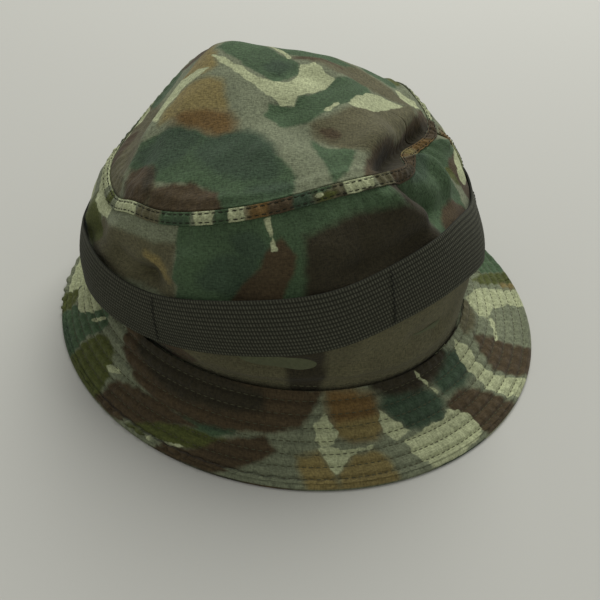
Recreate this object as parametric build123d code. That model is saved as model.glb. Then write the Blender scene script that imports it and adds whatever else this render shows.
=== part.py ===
from build123d import *
from functools import lru_cache
import math
import os

# A soft bucket hat that stands on its brim, slumped as worn cloth slumps.
# Millimetres, +Z up. X runs to the wearer's left, -Y is the wearer's front.
# The origin is the middle of the brim's outer edge, on the surface that the hat stands on.
# Angles go round +Z from +X, so 270 is the front and 90 the back.

# Head opening: the oval seam between crown and brim
opening_half_width = 95.5
opening_half_depth = 92.0
opening_shift_x = -8.5
opening_shift_y = -5.5
opening_height = 23.0
opening_tilt = 4.0
opening_tilt_angle = 20.0

# Brim: two plies of cloth over an interlining, held by rings of stitching
brim_radius = 133.0
brim_width = 50.0
brim_flare = 1.3
brim_edge_flat = 1.2
brim_foot_cut = 0.2
cloth = 0.8
interlining = 0.8
interlining_margin = 3.0
ply_gap = 0.08
brim_root_gap = 0.7

# Crown wall
belly_half_width = 98.5
belly_half_depth = 95.5
belly_shift_x = -12.0
belly_shift_y = -4.0
belly_height = 62.0
belly_tilt = 0.15
belly_level = 0.46
# Swells and hollows of the belly: angle, spread, width
belly_bumps = [(205.0, 40.0, 5.0), (0.0, 45.0, -7.0)]
shoulder_level = 0.83
shoulder_reach = 0.44
shoulder_drop = 0.27

# Top seam: the oval where the tip meets the wall
tip_half_width = 81.0
tip_half_depth = 76.0
tip_shift_x = -22.0
tip_shift_y = -4.0
tip_front_height = 103.5
tip_front_slope = 0.31
tip_left_height = 76.0
tip_left_slope = 1.12
tip_right_height = 142.0
tip_right_slope = 0.47
tip_back_height = 88.0
tip_back_slope = 0.94
tip_side_slope = 0.04
tip_peak = 135.0
tip_rounding = 3.0
dent_angle = -14.0
dent_spread = 22.0
dent_pull = 0.235
dent_depth = 10.0
# How far in from the seam the dent's slope reaches, as a share of the tip
dent_slope_share = 0.17
dent_shoulder_reach = 0.12
dent_shoulder_lift = 0.9
sag_angle = 228.0
sag_spread = 26.0
sag_depth = 15.5
# The wearer's front left is held up a little
lift_angle = 299.0
lift_spread = 24.0
lift_height = 5.0
# How steeply the sag and the lift grow towards the seam
sag_power = 3
# Swells and hollows of the top seam's plan: angle, spread, share of the reach
rim_bumps = [(200.0, 24.0, -0.03), (140.0, 32.0, -0.11), (290.0, 30.0, -0.09), (45.0, 30.0, -0.04)]

tip_sheet = 1.12
tip_outline_points = 60

# Seams and their covering strips
left_seam_angle = 14.0
right_seam_angle = 168.0
seam_gap = 0.3
tip_strip_width = 5.5
side_strip_width = 7.0
strip_thick = 0.6

# Sweatband inside the head opening
sweatband_height = 26.0
sweatband_thick = 0.9
sweatband_joint_gap = 0.6
sweatband_clearance = 0.15
sweatband_start_level = 0.01

# Elastic band round the crown, tacked down so that it makes loops
band_width = 26.0
band_thick = 1.1
band_clearance = 2.3
band_tacked_clearance = 0.3
band_height = 64.5
band_joint_gap = 0.6
band_loop_stand = 2.0
band_loop_spread = 13.0
band_loop_place = 0.65
band_loops_after_tacks = (3, 5)
# Rises and falls of the band: angle, spread, height
band_bumps = [(324.0, 34.0, 17.0), (238.0, 26.0, -9.0), (203.0, 26.0, -9.0), (237.0, 16.0, -5.0),
              (184.0, 20.0, -19.0)]
# Below this height the band hangs straight down, clear of the wall
band_hang_height = 44.0
band_hang_rounding = 3.0
band_snug_angle = 194.0
band_snug_spread = 14.0
band_tacks = 6
band_tack_first = 1.0
band_tack_width = 2.2
band_tack_thick = 0.7
band_tack_margin = 0.04
tack_gap = 0.1

# Thread
thread = 0.5
thread_gap = 0.03
thread_joint = 0.8
brim_stitch_rows = 7
brim_stitch_inset = 6.4
brim_stitch_pitch = 6.4
strip_stitch_inset = 1.0
root_stitch_rise = 3.5

# Fineness of the point grids
fit_tolerance = 0.01
around_points = 49
across_points = 17
tip_points = 41
band_points = 9
strip_points = 7
side_strip_points = 25
thread_points = 3
tack_points = 9
level_halvings = 30


def bump(angle, centre, width):
    turn = ((angle - centre + 180) % 360 - 180) / width
    return math.exp(-turn * turn)


def bumps(angle, places):
    return sum(size * bump(angle, centre, width) for centre, width, size in places)


def smooth_least(heights, radius):
    least = min(heights)
    return least - radius * math.log(sum(math.exp(-(h - least) / radius) for h in heights))


def outward(angle):
    a = math.radians(angle)
    return Vector(math.cos(a), math.sin(a), 0)


@lru_cache(maxsize=None)
def root(angle):
    """A point of the seam between crown and brim."""
    out = outward(angle)
    z = opening_height - opening_tilt * math.cos(math.radians(angle - opening_tilt_angle))
    return Vector(opening_shift_x + opening_half_width * out.X, opening_shift_y + opening_half_depth * out.Y, z)


@lru_cache(maxsize=None)
def tent(x, y):
    """The tip's height: four slopes and a cap that run into each other, as slack cloth does."""
    along, back = x - tip_shift_x, y - tip_shift_y
    front = tip_front_height + tip_front_slope * (back + tip_half_depth) + tip_side_slope * along
    left = tip_left_height + tip_left_slope * (along + tip_half_width)
    right = tip_right_height - tip_right_slope * along
    rear = tip_back_height + tip_back_slope * (tip_half_depth - back)
    return smooth_least([front, left, right, rear, tip_peak], tip_rounding)


def rim_reach(angle):
    """How far the top seam is pulled in or out. The deep dent is at the wearer's left."""
    return 1 - dent_pull * bump(angle, dent_angle, dent_spread) + bumps(angle, rim_bumps)


def tip(x, y):
    """The tip's underside, sunk towards the dent and the sagging front right."""
    along, back = (x - tip_shift_x) / tip_half_width, (y - tip_shift_y) / tip_half_depth
    angle = math.degrees(math.atan2(back, along))
    share = math.hypot(along, back) / rim_reach(angle)
    dent = dent_depth * bump(angle, dent_angle, dent_spread) * math.exp(-((1 - share) / dent_slope_share)**2)
    sag = sag_depth * bump(angle, sag_angle, sag_spread) - lift_height * bump(angle, lift_angle, lift_spread)
    return Vector(x, y, tent(x, y) - dent - sag * share**sag_power)


@lru_cache(maxsize=None)
def rim(angle):
    """A point of the top seam."""
    out = outward(angle) * rim_reach(angle)
    return tip(tip_shift_x + tip_half_width * out.X, tip_shift_y + tip_half_depth * out.Y)


@lru_cache(maxsize=None)
def belly(angle):
    """The widest line of the wall."""
    out = outward(angle)
    x = belly_shift_x + (belly_half_width + bumps(angle, belly_bumps)) * out.X
    return Vector(x, belly_shift_y + belly_half_depth * out.Y, belly_height + belly_tilt * (x - belly_shift_x))


@lru_cache(maxsize=None)
def shoulder(angle):
    """The wall's bend below the top seam. In the dent it stands about as high as the seam."""
    seam, wide = rim(angle), belly(angle)
    dent = bump(angle, dent_angle, dent_spread)
    reach = shoulder_reach - dent_shoulder_reach * dent
    drop = shoulder_drop * (1 - dent_shoulder_lift * dent)
    return Vector(seam.X + (wide.X - seam.X) * reach, seam.Y + (wide.Y - seam.Y) * reach,
                  seam.Z + (wide.Z - seam.Z) * drop)


@lru_cache(maxsize=None)
def wall(angle, level):
    """Inside of the crown wall: level 0 at the root, 1 at the top seam, smooth through four lines."""
    points = [root(angle), belly(angle), shoulder(angle), rim(angle)]
    knots = [0.0, belly_level, shoulder_level, 1.0]
    chords = [(points[k + 1] - points[k]) / (knots[k + 1] - knots[k]) for k in range(3)]
    slopes = [chords[0]]
    for k in (1, 2):
        before, after = knots[k] - knots[k - 1], knots[k + 1] - knots[k]
        slopes.append((chords[k - 1] * after + chords[k] * before) / (before + after))
    slopes.append(chords[2])
    k = 0 if level <= knots[1] else 1 if level <= knots[2] else 2
    step = knots[k + 1] - knots[k]
    u = (level - knots[k]) / step
    return (points[k] * (2 * u**3 - 3 * u**2 + 1) + slopes[k] * (step * (u**3 - 2 * u**2 + u))
            + points[k + 1] * (3 * u**2 - 2 * u**3) + slopes[k + 1] * (step * (u**3 - u**2)))


@lru_cache(maxsize=None)
def brim(angle, rise):
    """Underside of the brim: rise 0 at the edge, 1 at the root. At the edge it dips a little under
    the ground, where the plies are trimmed to a flat foot."""
    inner, outer = root(angle), outward(angle) * brim_radius
    foot = Vector(inner.X, inner.Y, 0)
    run = (outer - foot).length
    climb = max(0.0, (rise * run - brim_edge_flat) / (run - brim_edge_flat))
    height = (inner.Z + brim_foot_cut) * climb**brim_flare - brim_foot_cut
    return outer + (foot - outer) * rise + Vector(0, 0, height)


def rim_level(angle, below):
    """The level of the wall at a length below the top seam."""
    return 1 - below * (1 - shoulder_level) / (rim(angle) - shoulder(angle)).length


def root_level(angle, above):
    """The level of the wall at a length above the root."""
    return above * belly_level / (belly(angle) - root(angle)).length


def level_at(angle, height):
    """The level at which the wall reaches a height, up to the shoulder."""
    low, high = 0.0, shoulder_level
    for _ in range(level_halvings):
        middle = (low + high) / 2
        if wall(angle, middle).Z < height:
            low = middle
        else:
            high = middle
    return low


def tack_angle(number):
    return band_tack_first + number * 360 / band_tacks


@lru_cache(maxsize=None)
def band(angle, across):
    """Inner face of the elastic band: across 0 at its lower edge, 1 at its upper edge."""
    height = band_height + bumps(angle, band_bumps) + (across - 0.5) * band_width
    out = outward(angle)
    spot = wall(angle, level_at(angle, -smooth_least([-height, -band_hang_height], band_hang_rounding)))
    tacked = (0.5 + 0.5 * math.cos(math.radians(band_tacks * (angle - band_tack_first))))**2
    tacked = 1 - (1 - tacked) * (1 - bump(angle, band_snug_angle, band_snug_spread))
    loop = sum(bump(angle, tack_angle(number + band_loop_place), band_loop_spread)
               for number in band_loops_after_tacks)
    stand = cloth + band_clearance - (band_clearance - band_tacked_clearance) * tacked + band_loop_stand * loop
    return Vector(spot.X, spot.Y, height) + out * stand


def lifted(surface, u, v, lift):
    """The point at a height above a surface, along its outward normal."""
    along = surface(u + 0.5, v) - surface(u - 0.5, v)
    across = surface(u, min(v + 0.01, 1)) - surface(u, max(v - 0.01, 0))
    return surface(u, v) + along.cross(across).normalized() * lift


def patch(surface, u_range, v_range, low, high, across=across_points, around=around_points):
    """A closed solid between two heights above a surface. A bound of v may be a function of u."""
    def grid(lift):
        rows = []
        for i in range(around):
            u = u_range[0] + (u_range[1] - u_range[0]) * i / (around - 1)
            start, end = (bound(u) if callable(bound) else bound for bound in v_range)
            rows.append([lifted(surface, u, start + (end - start) * j / (across - 1), lift)
                         for j in range(across)])
        return rows
    inner, outer = (Face.make_surface_from_array_of_points(grid(lift), tol=fit_tolerance) for lift in (low, high))
    sides = []
    for edge, partner in zip(inner.edges(), outer.edges()):
        start = edge.position_at(0)
        if (start - partner.position_at(0)).length > (start - partner.position_at(1)).length:
            partner = partner.reversed()
        sides.append(Face.make_surface_from_curves(edge, partner))
    return Solid(Shell([inner, outer] + sides))


def ring(surface, joint_angle, gap, v_range, low, high, across=across_points):
    """A patch right round the hat, with a butt joint."""
    half = math.degrees(gap / brim_radius) / 2
    return patch(surface, (joint_angle + half, joint_angle + 360 - half), v_range, low, high, across,
                 2 * around_points - 1)


seam_turn = math.degrees(seam_gap / belly_half_width) / 2
front = (right_seam_angle + seam_turn, left_seam_angle + 360 - seam_turn)
back = (left_seam_angle + seam_turn, right_seam_angle - seam_turn)
halves = {"front": front, "back": back}


def make_tip():
    """The tip is cut from a wide sheet of the tent by the outline of the top seam."""
    def sheet(u, v):
        return tip(tip_shift_x + tip_half_width * (u / 100 - 1) * tip_sheet,
                   tip_shift_y + tip_half_depth * (2 * v - 1) * tip_sheet)
    outline = [rim(360 * k / tip_outline_points) for k in range(tip_outline_points)]
    centre = Vector(tip_shift_x, tip_shift_y, 0)
    flat = [Vector(p.X, p.Y, 0) for p in outline]
    edge = [p - (p - centre).normalized() * seam_gap for p in flat]
    prism = extrude(Face(Wire([Spline(*edge, periodic=True)])), tip_peak * 2)
    slab = patch(sheet, (0, 200), (0, 1), 0, cloth, tip_points, tip_points)
    return (slab & prism).solids().sort_by(SortBy.VOLUME)[-1]


def strip_bottom(angle):
    return rim_level(angle, tip_strip_width)


def side_strip(name, middle):
    half = math.degrees(side_strip_width / belly_half_width) / 2
    on_cloth = cloth + ply_gap
    pieces = {"side_strip_" + name: patch(wall, (middle - half, middle + half), (root_start, side_top),
                                          on_cloth, on_cloth + strip_thick, side_strip_points, thread_points)}
    inset = math.degrees(strip_stitch_inset / belly_half_width)
    wide = math.degrees(thread / belly_half_width) / 2
    on_strip = on_cloth + strip_thick + thread_gap
    for side, turn in (("a", -half + inset), ("b", half - inset)):
        pieces[f"side_stitch_{name}_{side}"] = patch(
            wall, (middle + turn - wide, middle + turn + wide), (root_start, side_top),
            on_strip, on_strip + thread, side_strip_points, thread_points)
    return pieces


def root_start(angle):
    return root_level(angle, root_stitch_rise + thread)


def side_top(angle):
    return rim_level(angle, tip_strip_width + seam_gap)


def stitch(surface, joint_angle, place, width, height):
    """A ring of thread. place gives its middle and width gives its width, both in the surface's v."""
    bounds = [lambda u, side=side: place(u) + side * width(u) / 2 for side in (-1, 1)]
    return ring(surface, joint_angle, thread_joint, bounds, height, height + thread, thread_points)


def rim_width(angle):
    return 1 - rim_level(angle, thread)


def root_width(angle):
    return root_level(angle, thread)


def brim_top(angle):
    """Where the brim's plies end, short of the crown wall."""
    foot = Vector(root(angle).X, root(angle).Y, 0)
    return 1 - (cloth + brim_root_gap) / (outward(angle) * brim_radius - foot).length


def brim_row(number):
    """Where a row of stitches lies, counted from the edge."""
    return (brim_stitch_inset + number * brim_stitch_pitch) / brim_width


pieces = {}
for name, span in halves.items():
    pieces["crown_wall_" + name] = patch(wall, span, (0, 1), 0, cloth)
pieces["crown_tip"] = make_tip()

# The strip over the top seam, with its two rows of stitches
on_cloth = cloth + ply_gap
on_strip = on_cloth + strip_thick + thread_gap
back_joint = 90.0
pieces["tip_strip"] = ring(wall, back_joint, sweatband_joint_gap, (strip_bottom, 1), on_cloth,
                           on_cloth + strip_thick, strip_points)
pieces["tip_stitch_upper"] = stitch(wall, back_joint, lambda u: rim_level(u, strip_stitch_inset),
                                    rim_width, on_strip)
pieces["tip_stitch_lower"] = stitch(wall, back_joint, lambda u: rim_level(u, tip_strip_width - strip_stitch_inset),
                                    rim_width, on_strip)
pieces.update(side_strip("left", left_seam_angle))
pieces.update(side_strip("right", right_seam_angle))
pieces["root_stitch"] = stitch(wall, back_joint, lambda u: root_level(u, root_stitch_rise), root_width,
                               cloth + thread_gap)

# The brim, from below: under cloth, interlining, upper cloth and rows of stitches
upper = cloth + interlining + 2 * ply_gap
above_ground = extrude(Rectangle(3 * brim_radius, 3 * brim_radius), opening_height * 2)
for name, span in halves.items():
    under = patch(brim, span, (0, brim_top), 0, cloth)
    pieces["brim_under_" + name] = (under & above_ground).solids().sort_by(SortBy.VOLUME)[-1]
    pieces["brim_interlining_" + name] = patch(
        brim, span, (interlining_margin / brim_width, brim_top), cloth + ply_gap, upper - ply_gap)
    pieces["brim_upper_" + name] = patch(brim, span, (0, brim_top), upper, upper + cloth)
for number in range(brim_stitch_rows):
    pieces[f"brim_stitch_{number + 1}"] = stitch(
        brim, back_joint, lambda u, row=brim_row(number): row, lambda u: thread / brim_width,
        upper + cloth + thread_gap)

# Inside and outside bands
pieces["sweatband"] = ring(wall, back_joint, sweatband_joint_gap,
                           (sweatband_start_level, lambda u: root_level(u, sweatband_height)),
                           -sweatband_clearance - sweatband_thick, -sweatband_clearance, strip_points)
joint_half = math.degrees(band_joint_gap / belly_half_width) / 2
joint, opposite = tack_angle(0.5), tack_angle(0.5) + 180
lengths = [patch(band, span, (0, 1), 0, band_thick, band_points)
           for span in ((joint + joint_half, opposite), (opposite, joint + 360 - joint_half))]
pieces["elastic_band"] = lengths[0].fuse(lengths[1], tol=2 * fit_tolerance)
tack_half = math.degrees(band_tack_width / belly_half_width) / 2
for number in range(band_tacks):
    middle = tack_angle(number)
    pieces[f"band_tack_{number + 1}"] = patch(band, (middle - tack_half, middle + tack_half),
                                              (band_tack_margin, 1 - band_tack_margin),
                                              band_thick + tack_gap, band_thick + band_tack_thick, band_points, tack_points)

os.makedirs("parts", exist_ok=True)
for name, solid in pieces.items():
    export_step(solid, f"parts/{name}.step")
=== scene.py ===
import math

import bpy
import numpy as np
from mathutils import Matrix, Vector


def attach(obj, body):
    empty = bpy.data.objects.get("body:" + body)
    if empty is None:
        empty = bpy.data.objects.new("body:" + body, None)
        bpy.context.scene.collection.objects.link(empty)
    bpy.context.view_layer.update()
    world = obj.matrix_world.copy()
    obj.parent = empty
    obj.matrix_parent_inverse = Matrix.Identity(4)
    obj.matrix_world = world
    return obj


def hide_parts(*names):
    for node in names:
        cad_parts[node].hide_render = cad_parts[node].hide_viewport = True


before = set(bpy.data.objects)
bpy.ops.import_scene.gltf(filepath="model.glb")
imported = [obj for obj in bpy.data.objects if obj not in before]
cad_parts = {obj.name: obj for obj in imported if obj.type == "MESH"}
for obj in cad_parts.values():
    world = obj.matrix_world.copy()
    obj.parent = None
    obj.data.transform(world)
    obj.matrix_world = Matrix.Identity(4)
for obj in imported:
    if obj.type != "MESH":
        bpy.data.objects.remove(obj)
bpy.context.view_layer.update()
print("frame loaded")

mm = 0.001
uvUnit = 100  # millimetres to one unit of a UV map


# The hat's form in millimetres, on the same lines that the solids are drawn on.
hat = {
    "openingHalf": (95.5, 92.0), "openingShift": (-8.5, -5.5), "openingHeight": 23.0,
    "openingTilt": 4.0, "openingTiltAngle": 20.0,
    "brimRadius": 133.0, "brimWidth": 50.0, "brimFlare": 1.3, "brimEdgeFlat": 1.2, "footCut": 0.2,
    "bellyHalf": (98.5, 95.5), "bellyShift": (-12.0, -4.0), "bellyHeight": 62.0, "bellyTilt": 0.15,
    "bellyLevel": 0.46, "bellyBumps": ((205, 40, 5), (0, 45, -7)),
    "shoulderLevel": 0.83, "shoulderReach": 0.44, "shoulderDrop": 0.27,
    "tipHalf": (81.0, 76.0), "tipShift": (-22.0, -4.0), "tipFront": (103.5, 0.31), "tipLeft": (76.0, 1.12),
    "tipRight": (142.0, 0.47), "tipBack": (88.0, 0.94), "tipSide": 0.04, "tipPeak": 135.0, "tipRounding": 3.0,
    "rimBumps": ((200, 24, -0.03), (140, 32, -0.11), (290, 30, -0.09), (45, 30, -0.04)),
    "dent": (-14, 22), "dentPull": 0.235, "dentDepth": 10.0, "dentSlope": 0.17, "dentReach": 0.12,
    "dentLift": 0.9,
    "sag": (228, 26), "sagDepth": 15.5, "lift": (299, 24), "liftHeight": 5.0,
    "cloth": 0.8, "plyGap": 0.08, "strip": 0.6, "interlining": 0.8,
    "bandWidth": 26.0, "bandThick": 1.1, "bandHeight": 64.5, "bandClearance": 2.3, "bandTacked": 0.3,
    "bandTackFirst": 1.0, "bandTacks": 6, "loopAngles": (220, 340), "loopSpread": 13, "loopStand": 2.0,
    "bandSnug": (194, 14), "bandHang": 44.0,
    "bandBumps": ((324, 34, 17), (238, 26, -9), (203, 26, -9), (237, 16, -5), (184, 20, -19)),
    "leftSeam": 14.0, "rightSeam": 168.0,
}


def bump(angle, centre, width):
    turn = ((angle - centre + 180) % 360 - 180) / width
    return np.exp(-turn * turn)


def bumps(angle, places):
    return sum(size * bump(angle, centre, width) for centre, width, size in places)


def outward(angle):
    turn = np.radians(angle)
    return np.cos(turn), np.sin(turn)


def stacked(*parts):
    return np.stack(np.broadcast_arrays(*parts), axis=-1)


def oval(angle, shift, halfX, halfY):
    x, y = outward(angle)
    return shift[0] + halfX * x, shift[1] + halfY * y


def rootPoint(angle):
    height = hat["openingHeight"] - hat["openingTilt"] * np.cos(np.radians(angle - hat["openingTiltAngle"]))
    return stacked(*oval(angle, hat["openingShift"], *hat["openingHalf"]), height)


def tentHeight(x, y):
    # four slopes and a flat peak, whose least height is taken and rounded where they meet
    (halfX, halfY), (shiftX, shiftY) = hat["tipHalf"], hat["tipShift"]
    along, back = x - shiftX, y - shiftY
    front = hat["tipFront"][0] + hat["tipFront"][1] * (back + halfY) + hat["tipSide"] * along
    left = hat["tipLeft"][0] + hat["tipLeft"][1] * (along + halfX)
    right = hat["tipRight"][0] - hat["tipRight"][1] * along
    rear = hat["tipBack"][0] + hat["tipBack"][1] * (halfY - back)
    heights = stacked(front, left, right, rear, hat["tipPeak"] + 0 * x)
    least = heights.min(axis=-1)
    spread = np.exp(-(heights - least[..., None]) / hat["tipRounding"]).sum(axis=-1)
    return least - hat["tipRounding"] * np.log(spread)


def rimReach(angle):
    return 1 - hat["dentPull"] * bump(angle, *hat["dent"]) + bumps(angle, hat["rimBumps"])


def tipPoint(angle, share):
    reach = rimReach(angle) * share
    x, y = oval(angle, hat["tipShift"], hat["tipHalf"][0] * reach, hat["tipHalf"][1] * reach)
    dent = hat["dentDepth"] * bump(angle, *hat["dent"]) * np.exp(-((1 - share) / hat["dentSlope"])**2)
    sag = hat["sagDepth"] * bump(angle, *hat["sag"]) - hat["liftHeight"] * bump(angle, *hat["lift"])
    return stacked(x, y, tentHeight(x, y) - dent - sag * share**3)


def bellyPoint(angle):
    (halfX, halfY), shift = hat["bellyHalf"], hat["bellyShift"]
    x, y = oval(angle, shift, halfX + bumps(angle, hat["bellyBumps"]), halfY)
    return stacked(x, y, hat["bellyHeight"] + hat["bellyTilt"] * (x - shift[0]))


def shoulderPoint(angle):
    seam, wide = tipPoint(angle, 1.0), bellyPoint(angle)
    dent = bump(angle, *hat["dent"])
    reach = hat["shoulderReach"] - hat["dentReach"] * dent
    drop = hat["shoulderDrop"] * (1 - hat["dentLift"] * dent)
    return seam + (wide - seam) * stacked(reach, reach, drop)


def wallPoint(angle, level):
    angle, level = np.broadcast_arrays(np.asarray(angle, float), np.asarray(level, float))
    points = [rootPoint(angle), bellyPoint(angle), shoulderPoint(angle), tipPoint(angle, 1.0)]
    knots = [0.0, hat["bellyLevel"], hat["shoulderLevel"], 1.0]
    chords = [(points[k + 1] - points[k]) / (knots[k + 1] - knots[k]) for k in range(3)]
    slopes = [chords[0]]
    for k in (1, 2):
        before, after = knots[k] - knots[k - 1], knots[k + 1] - knots[k]
        slopes.append((chords[k - 1] * after + chords[k] * before) / (before + after))
    slopes.append(chords[2])
    result = np.zeros(angle.shape + (3,))
    for k in range(3):
        step = knots[k + 1] - knots[k]
        u = ((level - knots[k]) / step)[..., None]
        spot = (points[k] * (2 * u**3 - 3 * u**2 + 1) + slopes[k] * (step * (u**3 - 2 * u**2 + u))
                + points[k + 1] * (3 * u**2 - 2 * u**3) + slopes[k + 1] * (step * (u**3 - u**2)))
        inside = (level >= knots[k]) if k else (level > -1)
        result = np.where(inside[..., None], spot, result)
    return result


def brimSpan(angle):
    # the foot of the brim's root, its edge, and the length between them on the floor
    x, y = outward(angle)
    foot = rootPoint(angle) * (1, 1, 0)
    outer = stacked(hat["brimRadius"] * x, hat["brimRadius"] * y, 0 * x)
    return foot, outer, np.linalg.norm(outer - foot, axis=-1)


def brimPoint(angle, rise):
    foot, outer, run = brimSpan(angle)
    climb = np.maximum(0, (rise * run - hat["brimEdgeFlat"]) / (run - hat["brimEdgeFlat"]))
    spot = outer + (foot - outer) * np.asarray(rise)[..., None]
    top = rootPoint(angle)[..., 2] + hat["footCut"]
    spot[..., 2] = np.maximum(0, top * climb**hat["brimFlare"] - hat["footCut"])
    return spot


def rimLevel(angle, below):
    length = np.linalg.norm(tipPoint(angle, 1.0) - shoulderPoint(angle), axis=-1)
    return 1 - below * (1 - hat["shoulderLevel"]) / length


def rootLevel(angle, above):
    return above * hat["bellyLevel"] / np.linalg.norm(bellyPoint(angle) - rootPoint(angle), axis=-1)


def levelAt(angle, height):
    low, high = np.zeros_like(height), np.full_like(height, hat["shoulderLevel"])
    for _ in range(24):
        middle = (low + high) / 2
        under = wallPoint(angle, middle)[..., 2] < height
        low, high = np.where(under, middle, low), np.where(under, high, middle)
    return low


def normals(surface, angle, v):
    # outward normal of a surface(angle, v), by differences
    along = surface(angle + 0.3, v) - surface(angle - 0.3, v)
    up, down = np.minimum(v + 0.004, 1), np.maximum(v - 0.004, 0)
    across = surface(angle, up) - surface(angle, down)
    cross = np.cross(along, across)
    return cross / np.maximum(np.linalg.norm(cross, axis=-1, keepdims=True), 1e-9)


def raised(surface, angle, v, lift):
    return surface(angle, v) + normals(surface, angle, v) * lift[..., None]


# Soft folds and the pattern are strokes and patches drawn on a panel. A panel's scale is the length in
# millimetres of one unit along it and one across it.
panelScale = {"wall": (1.72, 108.0), "brim": (2.0, 48.0), "strip": (1.6, 8.0), "tip": (1.0, 1.0)}


def flattened(panel, u, v, stroke):
    # the panel's points and a stroke in millimetres; an angle is kept within half a turn of the stroke
    su, sv = panelScale[panel]
    path = np.array(stroke, float)
    if panel != "tip":
        u = path[0, 0] + (u - path[0, 0] + 180) % 360 - 180
    return u * su, v * sv, path * (su, sv)


def lineGap(px, py, start, end):
    # distance from each point to a straight line, and how far along the line its nearest place lies
    dx, dy = end - start
    t = np.clip(((px - start[0]) * dx + (py - start[1]) * dy) / (dx * dx + dy * dy + 1e-9), 0, 1)
    return np.hypot(px - start[0] - t * dx, py - start[1] - t * dy), t


def strokeGap(panel, u, v, stroke):
    # distance in millimetres from each panel point to the stroke, and how far along it lies
    px, py, path = flattened(panel, u, v, stroke)
    nearest, share = np.full(px.shape, 1e9), np.zeros(px.shape)
    count = len(path) - 1
    for k in range(count):
        gap, t = lineGap(px, py, path[k], path[k + 1])
        closer = gap < nearest
        nearest, share = np.where(closer, gap, nearest), np.where(closer, (k + t) / count, share)
    return nearest, share


def patchField(panel, u, v, corners):
    # millimetres inside (+) or outside (-) a patch with straight sides
    px, py, path = flattened(panel, u, v, corners)
    nearest, inside = np.full(px.shape, 1e9), np.zeros(px.shape, bool)
    for start, end in zip(path, np.roll(path, -1, axis=0)):
        nearest = np.minimum(nearest, lineGap(px, py, start, end)[0])
        dx, dy = end - start
        if dy:
            crossed = (start[1] > py) != (end[1] > py)
            inside ^= crossed & (px < start[0] + dx * (py - start[1]) / dy)
    return np.where(inside, nearest, -nearest)


def patternField(panel, u, v, strokes):
    # millimetres inside (+) or outside (-) the nearest patch or stroke; a stroke tapers to its ends
    field = np.full(u.shape, -12.0)
    for width, *path in strokes:
        if not width:
            field = np.maximum(field, patchField(panel, u, v, path))
            continue
        gap, share = strokeGap(panel, u, v, path)
        half = width / 2 * (1 - 0.45 * np.abs(2 * share - 1)**2.5)
        field = np.maximum(field, half - gap)
    return field


def foldField(panel, u, v, folds):
    total = np.zeros(u.shape)
    for height, width, *path in folds:
        gap, share = strokeGap(panel, u, v, path)
        total += height * np.exp(-(gap / width)**2) * np.clip(1.25 - np.abs(2 * share - 1)**3, 0, 1)
    return total


waveCount = 12


def wrinkles(points, size, seed):
    # soft seeded waves of about one size that cross in all directions
    draw = np.random.default_rng(seed)
    total = np.zeros(points.shape[:-1])
    for _ in range(waveCount):
        way = draw.normal(size=3)
        way /= np.linalg.norm(way)
        length = size * draw.uniform(0.6, 1.6)
        total += np.sin(2 * math.pi * (points @ way) / length + draw.uniform(0, 6.28))
    return total / waveCount**0.5


# The pattern. A stroke is its width in millimetres, then its points. Width 0 is a patch by its corners.
# wall: angle, level from root 0 to top seam 1
wallCamo = {
    "khaki": [(0, (212, .84), (222, .82), (236, .82), (247, .84), (247.5, .7), (247, .56), (222, .56),
        (208, .6)), (0, (242, .0), (246, .34), (256, .5), (286, .5), (286, -.05), (256, -.05)),
        (0, (283, .30), (300, .44), (320, .50), (334, .36), (346, .2), (340, -.05), (283, -.05))],
    "rust": [(14, (266, .64), (270, .66))],
    "ochre": [(10, (238, .74), (244, .66)), (8, (356, .78), (358, .9))],
    "olive": [(0, (196, .84), (210, .80), (215, .70), (211, .58), (194, .60)), (14, (352, .70), (364, .62))],
    "green": [(0, (247, .95), (262, .95), (284, .96), (284, .5), (262, .5), (247, .55)), (0, (275, 1.02),
        (300, 1.02), (330, 1.02), (345, .92), (350, .62), (340, .5), (300, .5), (276, .5), (278, .76)),
        (24, (352, .86), (366, .8)), (14, (350, .1), (362, .3))],
    "teal": [(20, (256, .68), (266, .74)), (14, (264, .86), (270, .80)), (16, (326, .95), (338, .9)),
        (10, (190, .6), (200, .58))],
    "brown": [(0, (275, .86), (278.5, .77), (277, .70), (273.5, .59), (261, .58), (264.5, .67), (269, .73),
        (270.5, .8)), (26, (218, .02), (234, .12), (246, .10)), (18, (328, .62), (342, .56))],
    # painted shade: below the band at the front, above the band and in the valley beside the dent on the
    # right, and along the root at the left front
    "shadeAndDarkPrint": [(0, (272.6, .34), (284.2, .36), (284.4, .14), (283, -.05), (275.5, -.05), (274.5, .1)),
        (0, (281, .84), (296, .88), (310, .86), (318, .78), (322, .56), (300, .5), (279, .56)),
        (18, (312, .92), (322, .74)), (14, (222, .0), (240, .04))],
    "pale": [(0, (271.4, .94), (273.8, .94), (273.4, .86), (274.2, .80), (272, .80), (272.2, .86)),
        (0, (186, 1.02), (208, 1.02), (217, .94), (217, .84), (208, .80), (196, .85), (184, .88)),
        (20, (172, .6), (190, .74))],
}
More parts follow.
